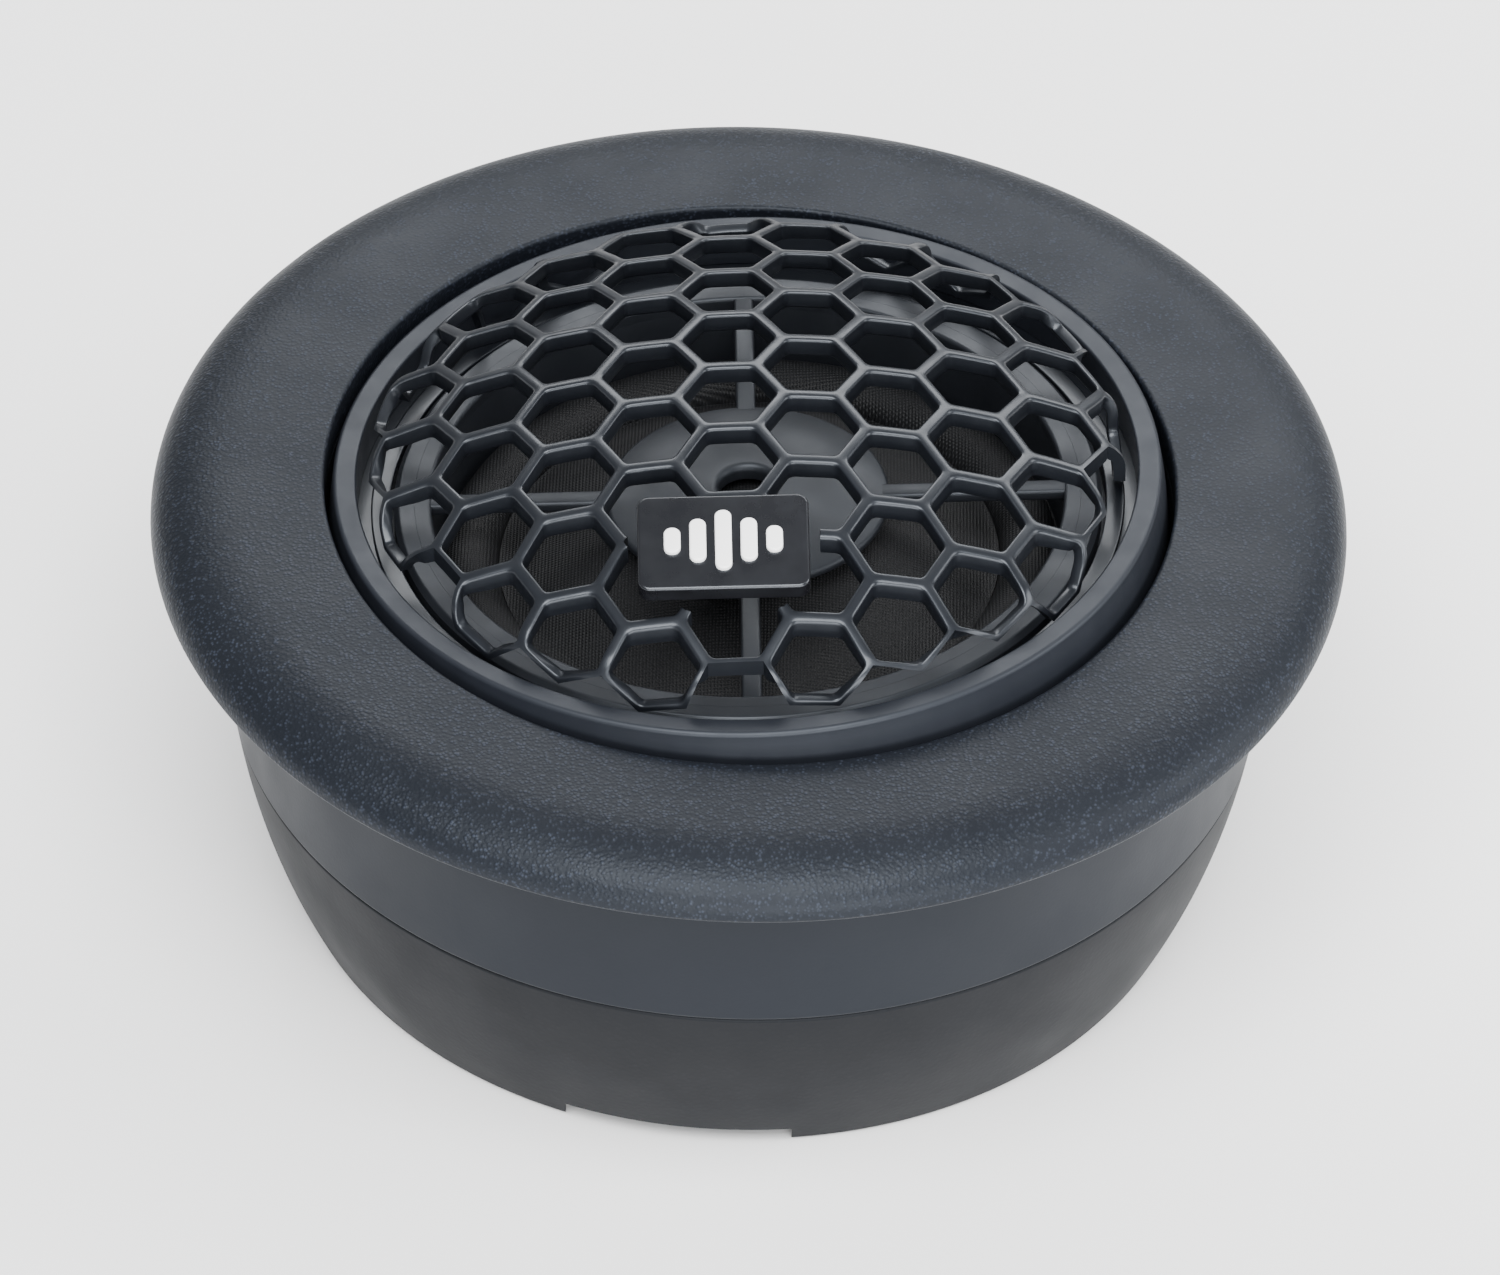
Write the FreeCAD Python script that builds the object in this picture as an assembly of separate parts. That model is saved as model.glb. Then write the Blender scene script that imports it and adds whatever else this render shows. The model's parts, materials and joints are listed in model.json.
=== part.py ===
"""Car tweeter: a soft-dome tweeter pod that aims inside a round flush-mount housing.

Units are millimetres, +Z is up and forward (the way the tweeter fires), and the origin is the
centre of the housing's flat base.  The housing stands on its base.  The pod is drawn upright about
its own pivot, with z = 0 at the pivot, and is then tilted into its rest attitude by in_pod().
"""
import FreeCAD, Part
import math
import os

V = FreeCAD.Vector
Z_AXIS = V(0, 0, 1)
EPS = 0.01

# ---- housing: flange, straight collar and tapered base cup --------------------------------------
FLANGE_R = 30.0          # outside of the flange
FLANGE_TOP = 23.8        # face of the flange above the base
FLANGE_LIP = 21.25       # underside of the flange, which rests on a panel
ROLL_W = 4.3             # the face rolls down over this width at its rim
ROLL_H = 2.3
LIP_BREAK = 0.25         # broken lower edge of the rim
OPENING_R = 21.3         # hole that the pod looks out of
CEILING = 22.0           # underside of the flange inside the housing
COLLAR_R = 26.2          # straight collar that fills a panel cut-out
BORE_R = 24.2            # inside of the collar
SEAM_Z = 11.2            # joint between flange housing and base cup
SEAM_BREAK = 0.15        # both edges of the joint are broken to a fine V groove
CUP_RIM_R = 26.15
CUP_MID_R, CUP_MID_Z = 25.0, 5.3
FOOT_R = 23.1
FLOOR_T = 2.4
SPIGOT_TOP = 16.4        # the cup's spigot stands inside the collar
SPIGOT_IN_R = 22.6
WALL_IN = ((23.9, 9.1), (22.9, 5.0), (21.6, 2.9), (21.1, 2.4))   # (r, z) down the inside of the cup
GROOVE_Z0, GROOVE_Z1, GROOVE_R = 13.7, 14.9, 24.6
LUG_COUNT, LUG_SPAN = 4, 12.0
CABLE_HOLE_R = 4.0
NOTCH_W, NOTCH_H, NOTCH_X = 11.3, 1.2, -2.7
SCREW_PCD, SCREW_COUNT, SCREW_HOLE_R, SCREW_SINK_R = 26.0, 3, 1.6, 2.9

# ---- carrier: turns in the housing and holds the pod by two pins --------------------------------
PIVOT_Z = 20.2           # height of the tilt pivot above the base
CARRIER_R0, CARRIER_R1 = 21.35, 24.1
CARRIER_Z0, CARRIER_Z1 = 18.5, 21.9
RETAINER_R0, RETAINER_R1 = 21.7, 24.15
RETAINER_Z0, RETAINER_Z1 = SPIGOT_TOP, 17.8
WAVE_R0, WAVE_R1, WAVE_T, WAVE_COUNT = 22.4, 23.9, 0.25, 4
PIN_R, PIN_HOLE_R, PIN_IN, PIN_OUT = 0.8, 0.86, 19.8, 23.7

# ---- pod: everything below is measured from the pivot -------------------------------------------
REST_TILT = 3.0          # degrees the pod leans at rest
TILT_AXIS = 232.0        # direction of the tilt pins, degrees about +Z
POD_R = 21.1             # ball that the outside of the pod lies on
RING_TOP, RING_IN_R, RING_OUT_R, RING_BASE = 4.13, 19.55, 20.65, 1.2
SHELL_BASE = -7.0
SHELL_WALL = 1.5
SHELL_SEAT_R = 19.4       # bore that takes the face plate
PIN_BOSS_R = 1.9
SCREW_EAR_R = 1.6         # ears of the shell and the rear cap on the motor screws
WEB_TOP, WEB_BASE = -2.3, -3.8
TUBE_R0, TUBE_R1, TUBE_BASE = 15.1, 16.4, -11.4
LIP_R = 13.4              # lip inside the tube that the yoke comes up against

# ---- grille -------------------------------------------------------------------------------------
CAP_R = 42.7             # radius of the domed face
CAP_APEX = 9.98          # top of the dome above the pivot
CAP_T = 1.3
SKIRT_R, SKIRT_IN_R, ROLL_R = 19.0, 17.8, 17.7
FLANGE_OUT_R, FLANGE_T, BAND_TOP = 20.0, 0.7, 2.7
HEX_SIDE, HEX_WALL = 2.68, 0.68
HEX_X, HEX_Y, HEX_TURN = -0.74, -1.41, 1.8
BADGE_X, BADGE_Y, BADGE_W, BADGE_D, BADGE_T = -0.85, -11.4, 8.4, 5.6, 0.9
BADGE_CORNER, BADGE_SINK = 0.6, 0.5      # the badge is sunk this far into the honeycomb
# the honeycomb's walls stop at this opening round and below the badge
WINDOW_X0, WINDOW_X1, WINDOW_Y0, WINDOW_Y1 = -6.0, 3.45, -14.95, -10.0
PAD_T, PAD_MARGIN = 3.0, 0.3             # solid patch of the dome that carries the badge
BAR_HEIGHTS = (1.5, 2.5, 3.5, 2.5, 1.5)
BAR_W, BAR_PITCH, BAR_T = 0.82, 1.25, 0.25

# ---- diaphragm and motor ------------------------------------------------------------------------
PHASE_Z0, PHASE_Z1, PHASE_DISC_R, PHASE_HOLE_R = 1.8, 2.5, 7.1, 1.45
SPOKE_R0, SPOKE_W = 6.6, 1.0
PLATE_IN_R, HOOP_R0, HOOP_R1 = 15.7, 15.85, 16.7
LEDGE_R0, LEDGE_R1 = 17.75, 19.35        # ledge of the face plate that the grille's flange lies on
DOME_R, DOME_EDGE_R, DOME_BASE, DOME_H, DOME_T = 12.6, 12.4, -2.0, 3.4, 0.25
ROLL_SURROUND_R1 = 15.6
SURROUND_T, SURROUND_OUT_R = 0.2, 16.9
COIL_R0, COIL_R1, COIL_R2 = 12.45, 12.57, 12.80
COIL_BASE = -7.6
POLE_R, POLE_Z0, POLE_Z1 = 12.15, -7.4, -4.9
MAGNET_R, MAGNET_Z0 = 11.8, -10.4
YOKE_R0, YOKE_R1, YOKE_Z0 = 13.1, 15.05, -12.6
CAP_BASE = -13.8
MOTOR_SCREW_R, MOTOR_SCREW_TURN, MOTOR_SCREW_TIP = 16.6, 30, -7.4
FACE_SCREW_R, FACE_SCREW_TURN, FACE_SCREW_TIP = 17.7, 90, 0.0
TAB_ANGLES = (172, 188)   # where the two terminals stand
TAB_WIDTHS = (2.8, 2.0)   # the wider one is positive
LEAD_R = 0.12
# (r, drop below the pad) along a lead: straight on the pad, then two arcs down to the coil
LEAD_POINTS = ((16.7, 0), (15.5, 0), (14.9, 0.12), (14.4, 0.45), (13.7, 0.8), (12.95, 0.62))


# ---- helpers ------------------------------------------------------------------------------------
def edges_of(steps):
    """Edges of an outline: a step is (r, z), ("arc", through, end) or ("quarter", centre, end).

    A quarter is a quarter ellipse that starts level and ends upright.
    """
    edges = []
    here = V(steps[0][0], 0, steps[0][1])
    for step in steps[1:] + [steps[0]]:
        if step[0] == "arc":
            through = V(step[1][0], 0, step[1][1])
            end = V(step[2][0], 0, step[2][1])
            edges.append(Part.Arc(here, through, end).toShape())
        elif step[0] == "quarter":
            centre = V(step[1][0], 0, step[1][1])
            end = V(step[2][0], 0, step[2][1])
            edges.append(Part.ArcOfEllipse(Part.Ellipse(end, here, centre), 0, math.pi / 2).toShape())
        else:
            end = V(step[0], 0, step[1])
            if (end - here).Length < 1e-6:
                continue
            edges.append(Part.makeLine(here, end))
        here = end
    return edges


def lathe(steps, angle=360.0):
    """Solid of revolution about +Z from an outline in the (r, z) half plane."""
    face = Part.Face(Part.Wire(edges_of(list(steps))))
    solid = face.revolve(V(0, 0, 0), Z_AXIS, angle)
    if solid.Volume < 0:
        solid.reverse()
    return solid


def tube(r0, r1, z0, z1, edge=0.0):
    """Plain ring, with its outer edges broken when edge is given."""
    if edge:
        return lathe([(r0, z0), (r1 - edge, z0), (r1, z0 + edge),
                      (r1, z1 - edge), (r1 - edge, z1), (r0, z1)])
    return lathe([(r0, z0), (r1, z0), (r1, z1), (r0, z1)])


def rod(r, z0, z1, x=0.0, y=0.0):
    return Part.makeCylinder(r, z1 - z0, V(x, y, z0))


def polar(radius, degrees, z=0.0):
    return V(radius * math.cos(math.radians(degrees)), radius * math.sin(math.radians(degrees)), z)


def on_ball(z, radius=POD_R):
    """Distance from the axis of the ball's surface at height z above the pivot."""
    return math.sqrt(radius ** 2 - z ** 2)


def ball_arc(z_start, z_end, radius=POD_R):
    middle = (z_start + z_end) / 2
    return ("arc", (on_ball(middle, radius), middle), (on_ball(z_end, radius), z_end))


def in_pod(shape):
    """Moves a shape drawn about the pivot into the housing, at the rest tilt."""
    placed = shape.copy()
    placed.rotate(V(0, 0, 0), polar(1, TILT_AXIS), REST_TILT)
    placed.translate(V(0, 0, PIVOT_Z))
    return placed


def save(node, shape):
    if not shape.isValid() or shape.Volume <= 0:
        raise ValueError("bad shape: " + node)
    shape.exportStep("parts/" + node + ".step")


def save_pod(node, shape):
    save(node, in_pod(shape))


# ---- housing ------------------------------------------------------------------------------------
def bezel_housing():
    """Flange and collar in one moulding: rolled rim, clear opening, snap groove inside."""
    roll_r, roll_z = FLANGE_R - ROLL_W, FLANGE_TOP - ROLL_H
    return lathe([
        (OPENING_R, CEILING), (OPENING_R, FLANGE_TOP - 0.2), (OPENING_R + 0.2, FLANGE_TOP),
        (roll_r, FLANGE_TOP), ("quarter", (roll_r, roll_z), (FLANGE_R, roll_z)),
        (FLANGE_R - LIP_BREAK, FLANGE_LIP), (COLLAR_R, FLANGE_LIP), (COLLAR_R, SEAM_Z + SEAM_BREAK),
        (COLLAR_R - SEAM_BREAK, SEAM_Z), (BORE_R, SEAM_Z),
        (BORE_R, GROOVE_Z0), (GROOVE_R, GROOVE_Z0), (GROOVE_R, GROOVE_Z1), (BORE_R, GROOVE_Z1 + 0.4),
        (BORE_R, CEILING)])


def base_cup():
    """Tapered cup: floor with panel screws and cable hole, spigot with snap lugs, cable notch."""
    spigot_r = BORE_R - 0.05
    cup = lathe([
        (CABLE_HOLE_R, 0), (FOOT_R - 0.4, 0), (FOOT_R, 0.4),
        ("arc", (CUP_MID_R, CUP_MID_Z), (CUP_RIM_R, SEAM_Z - SEAM_BREAK)),
        (CUP_RIM_R - SEAM_BREAK, SEAM_Z), (spigot_r, SEAM_Z),
        (spigot_r, SPIGOT_TOP), (SPIGOT_IN_R, SPIGOT_TOP), (SPIGOT_IN_R, SEAM_Z - 0.8),
        *WALL_IN, (CABLE_HOLE_R, FLOOR_T)])
    lug = lathe([(spigot_r - 0.3, GROOVE_Z0 + 0.1), (GROOVE_R - 0.08, GROOVE_Z0 + 0.1),
                 (GROOVE_R - 0.08, GROOVE_Z1 - 0.4), (spigot_r - 0.3, GROOVE_Z1 + 0.1)], LUG_SPAN)
    for n in range(LUG_COUNT):
        piece = lug.copy()
        piece.rotate(V(0, 0, 0), Z_AXIS, n * 360.0 / LUG_COUNT + 45 - LUG_SPAN / 2)
        cup = cup.fuse(piece)
    sink_h = SCREW_SINK_R - SCREW_HOLE_R
    for n in range(SCREW_COUNT):
        at = polar(SCREW_PCD / 2, 90 + n * 360.0 / SCREW_COUNT)
        hole = rod(SCREW_HOLE_R, -1, FLOOR_T + 1, at.x, at.y)
        sink = Part.makeCone(SCREW_HOLE_R, SCREW_SINK_R, sink_h, V(at.x, at.y, FLOOR_T - sink_h))
        cup = cup.cut(hole).cut(sink)
    notch = Part.makeBox(NOTCH_W, FOOT_R, NOTCH_H + 1, V(NOTCH_X - NOTCH_W / 2, -FOOT_R - 3, -1))
    return cup.cut(notch).removeSplitter()


def wave_spring():
    """Wavy steel washer that presses the carrier up against the flange."""
    middle = (RETAINER_Z1 + CARRIER_Z0) / 2
    swing = (CARRIER_Z0 - RETAINER_Z1 - WAVE_T) / 2 - 0.02
    steps = 12 * WAVE_COUNT

    def closed_wave(radius, z):
        points = []
        for n in range(steps):
            angle = 360.0 * n / steps
            points.append(polar(radius, angle, z + swing * math.cos(math.radians(WAVE_COUNT * angle))))
        curve = Part.BSplineCurve()
        curve.interpolate(points, PeriodicFlag=True)
        return curve.toShape()

    low_in, low_out = closed_wave(WAVE_R0, middle - WAVE_T / 2), closed_wave(WAVE_R1, middle - WAVE_T / 2)
    top_in, top_out = closed_wave(WAVE_R0, middle + WAVE_T / 2), closed_wave(WAVE_R1, middle + WAVE_T / 2)
    faces = [Part.makeRuledSurface(a, b) for a, b in
             ((low_in, low_out), (top_in, top_out), (low_in, top_in), (low_out, top_out))]
    shell = Part.Shell(faces)
    shell.sewShape()
    solid = Part.Solid(shell)
    solid.fix(EPS, EPS, EPS)
    if solid.Volume < 0:
        solid.reverse()
    return solid


def carrier_ring():
    ring = lathe([(CARRIER_R0, CARRIER_Z0), (CARRIER_R1 - 0.3, CARRIER_Z0), (CARRIER_R1, CARRIER_Z0 + 0.3),
                  (CARRIER_R1, CARRIER_Z1), (CARRIER_R0 + 0.3, CARRIER_Z1), (CARRIER_R0, CARRIER_Z1 - 0.3)])
    for pin in pin_rods(PIN_R, PIN_IN, CARRIER_R1 + 1):
        ring = ring.cut(pin)
    return ring


def pin_rods(radius, start, end):
    """The two tilt pins' cylinders, on the tilt axis at the pivot's height."""
    rods = []
    for side in (0, 180):
        direction = polar(1, TILT_AXIS + side)
        base = direction * start + V(0, 0, PIVOT_Z)
        rods.append(Part.makeCylinder(radius, end - start, base, direction))
    return rods


# ---- pod ----------------------------------------------------------------------------------------
def front_ring():
    """Trim ring around the grille, rounded on top, its side on the pod's ball."""
    return lathe([
        (RING_IN_R, RING_BASE + FLANGE_T + 0.05), (RING_IN_R, RING_TOP - 0.3),
        ("arc", (RING_IN_R + 0.09, RING_TOP - 0.09), (RING_IN_R + 0.3, RING_TOP)),
        (RING_OUT_R - 0.3, RING_TOP),
        ("arc", (RING_OUT_R - 0.07, RING_TOP - 0.1), (on_ball(RING_TOP - 0.4), RING_TOP - 0.4)),
        ball_arc(RING_TOP - 0.4, RING_BASE),
        (FLANGE_OUT_R + 0.05, RING_BASE), (FLANGE_OUT_R + 0.05, RING_BASE + FLANGE_T + 0.05)])


def cap_height(radius, drop=0.0):
    """Height of the grille's domed face at a radius, drop below its outer surface."""
    return CAP_APEX - CAP_R + math.sqrt((CAP_R - drop) ** 2 - radius ** 2)


def hexagon(x, y, side, z0, z1):
    corners = [V(x, y, z0) + polar(side, 60 * n) for n in range(7)]
    prism = Part.Face(Part.makePolygon(corners)).extrude(V(0, 0, z1 - z0))
    upright = [edge for edge in prism.Edges if abs(edge.tangentAt(edge.FirstParameter).z) > 0.9]
    return prism.makeFillet(0.35, upright)


def badge_seat(shape):
    """Lays a shape drawn flat at the origin on the grille's dome at the badge's place."""
    placed = shape.copy()
    slope = math.degrees(math.asin(abs(BADGE_Y) / CAP_R))
    placed.rotate(V(0, 0, 0), V(1, 0, 0), slope)
    placed.rotate(V(0, 0, 0), Z_AXIS, HEX_TURN)
    placed.translate(V(BADGE_X, BADGE_Y, cap_height(math.hypot(BADGE_X, BADGE_Y)) - BADGE_SINK))
    return placed


def rounded_plate(width, depth, thick, corner):
    box = Part.makeBox(width, depth, thick, V(-width / 2, -depth / 2, 0))
    upright = [edge for edge in box.Edges if abs(edge.tangentAt(edge.FirstParameter).z) > 0.9]
    return box.makeFillet(corner, upright)


def badge_plate():
    return badge_seat(rounded_plate(BADGE_W, BADGE_D, BADGE_T, BADGE_CORNER))


def badge_emblem():
    """Five raised bars, tallest in the middle: a plain level-meter sign."""
    bars = []
    for n, height in enumerate(BAR_HEIGHTS):
        bar = rounded_plate(BAR_W, height, BAR_T, 0.3)
        bar.translate(V((n - 2) * BAR_PITCH, 0, BADGE_T))
        bars.append(badge_seat(bar))
    return Part.Compound(bars)


def grille():
    """Domed honeycomb with a rolled rim, a plain band below and a flange held by the front ring."""
    roll_top, skirt_top = cap_height(ROLL_R), cap_height(ROLL_R) - 1.5
    roll_in_r = ROLL_R - 1.2
    body = lathe([
        (0, CAP_APEX),
        ("arc", (ROLL_R / 2, cap_height(ROLL_R / 2)), (ROLL_R, roll_top)),
        ("arc", (ROLL_R + 0.95, roll_top - 0.55), (SKIRT_R, skirt_top)),
        (SKIRT_R, RING_BASE + FLANGE_T), (FLANGE_OUT_R, RING_BASE + FLANGE_T), (FLANGE_OUT_R, RING_BASE),
        (SKIRT_IN_R + 0.15, RING_BASE), (SKIRT_IN_R + 0.15, skirt_top - 0.3),
        ("arc", (SKIRT_IN_R - 0.4, roll_top - CAP_T - 0.4), (roll_in_r, cap_height(roll_in_r, CAP_T))),
        ("arc", (ROLL_R / 2, cap_height(ROLL_R / 2, CAP_T)), (0, CAP_APEX - CAP_T))])
    pitch_x, pitch_y = 1.5 * HEX_SIDE, math.sqrt(3) * HEX_SIDE
    opening = HEX_SIDE - HEX_WALL / math.sqrt(3)
    cells = []
    for column in range(-5, 6):
        for row in range(-5, 6):
            x = HEX_X + column * pitch_x
            y = HEX_Y + (row + 0.5 * (column % 2)) * pitch_y
            if math.hypot(x, y) - HEX_SIDE < SKIRT_R:
                cells.append(hexagon(x, y, opening, BAND_TOP, CAP_APEX + 1))
    holes = Part.Compound(cells)
    holes.rotate(V(0, 0, 0), Z_AXIS, HEX_TURN)
    window = Part.makeBox(WINDOW_X1 - WINDOW_X0, WINDOW_Y1 - WINDOW_Y0, CAP_APEX,
                          V(WINDOW_X0, WINDOW_Y0, BAND_TOP))
    window.rotate(V(0, 0, 0), Z_AXIS, HEX_TURN)
    mesh = body.cut(holes).cut(window)
    pad = rounded_plate(BADGE_W - 2 * PAD_MARGIN, BADGE_D - 2 * PAD_MARGIN, PAD_T, BADGE_CORNER)
    pad = badge_seat(pad)
    pad.translate(V(0, 0, -PAD_T / 2))
    pad = pad.common(body)
    under = badge_seat(rounded_plate(BADGE_W, BADGE_D, BADGE_T, BADGE_CORNER))
    mesh = mesh.fuse(pad).cut(under)
    return max(mesh.Solids, key=lambda solid: solid.Volume)


def face_plate():
    """Shallow flare in front of the dome, with a rebate for the phase plate's hoop."""
    plate = lathe([
        (PLATE_IN_R, DOME_BASE + SURROUND_T), (HOOP_R0, PHASE_Z0), (HOOP_R1 + 0.05, PHASE_Z0),
        (HOOP_R1 + 0.05, PHASE_Z1), (LEDGE_R0 - 0.25, PHASE_Z1), (LEDGE_R0, PHASE_Z1 - 0.25),
        (LEDGE_R0, RING_BASE), (LEDGE_R1, RING_BASE), (LEDGE_R1, WEB_TOP), (SURROUND_OUT_R + 0.05, WEB_TOP),
        (SURROUND_OUT_R + 0.05, DOME_BASE + SURROUND_T)])
    for at in screw_spots(FACE_SCREW_R, FACE_SCREW_TURN):
        plate = plate.cut(rod(0.7, WEB_TOP - 1, FACE_SCREW_TIP + 0.2, at.x, at.y))
    return plate


def phase_plate():
    """Convex disc over the dome with a centre hole, on four spokes from a thin hoop."""
    disc = lathe([
        (PHASE_HOLE_R, PHASE_Z0 + 0.3), (PHASE_DISC_R - 0.5, PHASE_Z0), (PHASE_DISC_R, PHASE_Z0 + 0.2),
        (PHASE_DISC_R - 0.2, PHASE_Z1),
        ("arc", (PHASE_DISC_R * 0.6, PHASE_Z1 + 0.35), (PHASE_HOLE_R + 0.3, PHASE_Z1 + 0.5)),
        (PHASE_HOLE_R, PHASE_Z1 + 0.3)])
    hoop = tube(HOOP_R0, HOOP_R1, PHASE_Z0, PHASE_Z1)
    plate = disc.fuse(hoop)
    for n in range(4):
        spoke = Part.makeBox(HOOP_R0 + 0.3 - SPOKE_R0, SPOKE_W, PHASE_Z1 - PHASE_Z0,
                             V(SPOKE_R0, -SPOKE_W / 2, PHASE_Z0))
        spoke.rotate(V(0, 0, 0), Z_AXIS, 90 * n + HEX_TURN)
        plate = plate.fuse(spoke)
    return plate.removeSplitter()


def screw_spots(radius, first):
    return [polar(radius, first + 120 * n) for n in range(3)]


def pod_shell():
    """Ball-sided shell: seat for the face plate, web, and the tube that holds the motor."""
    inner_ball = POD_R - SHELL_WALL
    shell = lathe([
        (SHELL_SEAT_R, RING_BASE), (on_ball(RING_BASE), RING_BASE), ball_arc(RING_BASE, SHELL_BASE),
        (on_ball(SHELL_BASE, inner_ball), SHELL_BASE), ball_arc(SHELL_BASE, WEB_BASE, inner_ball),
        (TUBE_R1, WEB_BASE), (TUBE_R1, TUBE_BASE), (TUBE_R0, TUBE_BASE), (TUBE_R0, POLE_Z1),
        (LIP_R, POLE_Z1), (LIP_R, POLE_Z1 + 0.9), (ROLL_SURROUND_R1, WEB_TOP),
        (SHELL_SEAT_R, WEB_TOP)])
    for at in screw_spots(MOTOR_SCREW_R, MOTOR_SCREW_TURN):
        shell = shell.fuse(rod(SCREW_EAR_R, TUBE_BASE, WEB_BASE + 0.2, at.x, at.y).cut(rod(TUBE_R0, -20, 0)))
    for at in screw_spots(MOTOR_SCREW_R, MOTOR_SCREW_TURN):
        shell = shell.cut(rod(0.8, TUBE_BASE - 1, MOTOR_SCREW_TIP + 0.2, at.x, at.y))
    for at in screw_spots(FACE_SCREW_R, FACE_SCREW_TURN):
        shell = shell.cut(rod(0.75, WEB_BASE - 1, WEB_TOP + 1, at.x, at.y))
    for side in (0, 180):
        direction = polar(1, TILT_AXIS + side)
        boss = Part.makeCylinder(PIN_BOSS_R, 1.5, direction * (SHELL_SEAT_R + 0.05), direction)
        boss = boss.common(Part.makeSphere(POD_R))
        boss = boss.cut(rod(SHELL_SEAT_R, WEB_TOP, 3)).cut(rod(POD_R, RING_BASE, 3))
        shell = shell.fuse(boss)
        shell = shell.cut(Part.makeCylinder(PIN_HOLE_R, 3, direction * (PIN_IN - 0.15), direction))
    return shell.cut(tab_pockets()).removeSplitter()


def tab_blank(width, allowance=0.0):
    """Brass strip: pad under the gasket, leg through the web, lug below it."""
    w = width + 2 * allowance
    pad = Part.makeBox(1.9 + allowance, w, 0.4, V(15.9 - allowance, -w / 2, WEB_TOP - 0.4))
    leg = Part.makeBox(0.5, w, 6.2, V(17.3, -w / 2, WEB_TOP - 6.6))
    return pad.fuse(leg).removeSplitter()


def tab_pockets():
    return Part.Compound([turned(tab_blank(width), angle) for width, angle in zip(TAB_WIDTHS, TAB_ANGLES)])


def turned(shape, degrees):
    copy = shape.copy()
    copy.rotate(V(0, 0, 0), Z_AXIS, degrees)
    return copy


def terminal_tabs():
    tabs = []
    for width, angle in zip(TAB_WIDTHS, TAB_ANGLES):
        blank = tab_blank(width)
        hole = Part.makeCylinder(0.5, 3, V(16.5, 0, WEB_TOP - 5.4), V(1, 0, 0))
        tabs.append(turned(blank.cut(hole), angle))
    return Part.Compound(tabs)


def coil_leads():
    """Two tinsel leads, looped from the coil to the pads so that the coil can move."""
    leads = []
    for angle in TAB_ANGLES:
        pad, edge, over, turn, low, coil = [
            V(radius, 0, WEB_TOP + LEAD_R - drop) for radius, drop in LEAD_POINTS]
        path = Part.Wire([Part.makeLine(pad, edge), Part.Arc(edge, over, turn).toShape(),
                          Part.Arc(turn, low, coil).toShape()])
        circle = Part.Wire(Part.Circle(pad, V(1, 0, 0), LEAD_R).toShape())
        lead = path.makePipeShell([circle], True, True)
        leads.append(turned(lead, angle))
    return Part.Compound(leads)


def surround():
    """Half-roll edge of the diaphragm and its clamped flange."""
    middle = (DOME_R + 0.02 + ROLL_SURROUND_R1) / 2
    outer = ROLL_SURROUND_R1 - middle
    inner = outer - SURROUND_T
    z = DOME_BASE
    meet = middle + math.sqrt(outer ** 2 - SURROUND_T ** 2)
    return lathe([
        (middle - outer, z), ("arc", (middle, z + outer), (meet, z + SURROUND_T)),
        (SURROUND_OUT_R, z + SURROUND_T), (SURROUND_OUT_R, z),
        (middle + inner, z), ("arc", (middle, z + inner), (middle - inner, z))])


def diaphragm_gasket():
    """Paper ring under the surround's flange, slotted for the two leads."""
    ring = tube(ROLL_SURROUND_R1, SURROUND_OUT_R, WEB_TOP, DOME_BASE)
    for angle in TAB_ANGLES:
        ring = ring.cut(turned(Part.makeBox(3, 0.6, 1, V(15, -0.3, WEB_TOP)), angle))
    return ring


def dome():
    """Woven dome with a narrow flat rim that the former and the surround are glued to."""
    radius = (DOME_EDGE_R ** 2 + DOME_H ** 2) / (2 * DOME_H)
    rim = DOME_BASE + DOME_T
    centre = rim + DOME_H - radius
    half_r = DOME_EDGE_R / 2
    inner = radius - DOME_T
    return lathe([
        (0, centre + radius), ("arc", (half_r, centre + on_ball(half_r, radius)), (DOME_EDGE_R, rim)),
        (DOME_R, rim), (DOME_R, DOME_BASE), (on_ball(DOME_BASE - centre, inner), DOME_BASE),
        ("arc", (half_r, centre + on_ball(half_r, inner)), (0, centre + inner))])


def pole_plate():
    return tube(0, POLE_R, POLE_Z0, POLE_Z1, 0.2)


def magnet():
    return tube(0, MAGNET_R, MAGNET_Z0, POLE_Z0, 0.3)


def yoke_cup():
    return lathe([
        (0, YOKE_Z0), (YOKE_R1 - 0.4, YOKE_Z0), (YOKE_R1, YOKE_Z0 + 0.4), (YOKE_R1, POLE_Z1),
        (YOKE_R0, POLE_Z1), (YOKE_R0, MAGNET_Z0), (0, MAGNET_Z0)])


def rear_cap():
    """Back cover with three ears on the motor screws."""
    cap = lathe([
        (0, YOKE_Z0), (TUBE_R0, YOKE_Z0), (TUBE_R0, TUBE_BASE), (TUBE_R1, TUBE_BASE),
        (TUBE_R1, CAP_BASE + 0.5), (TUBE_R1 - 0.5, CAP_BASE), (0, CAP_BASE)])
    for at in screw_spots(MOTOR_SCREW_R, MOTOR_SCREW_TURN):
        cap = cap.fuse(rod(SCREW_EAR_R, YOKE_Z0, TUBE_BASE, at.x, at.y).cut(rod(TUBE_R0, -20, 0)))
    for at in screw_spots(MOTOR_SCREW_R, MOTOR_SCREW_TURN):
        cap = cap.cut(rod(1.55, CAP_BASE - 1, YOKE_Z0, at.x, at.y)).cut(rod(0.8, -20, 0, at.x, at.y))
    return cap.removeSplitter()


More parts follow.
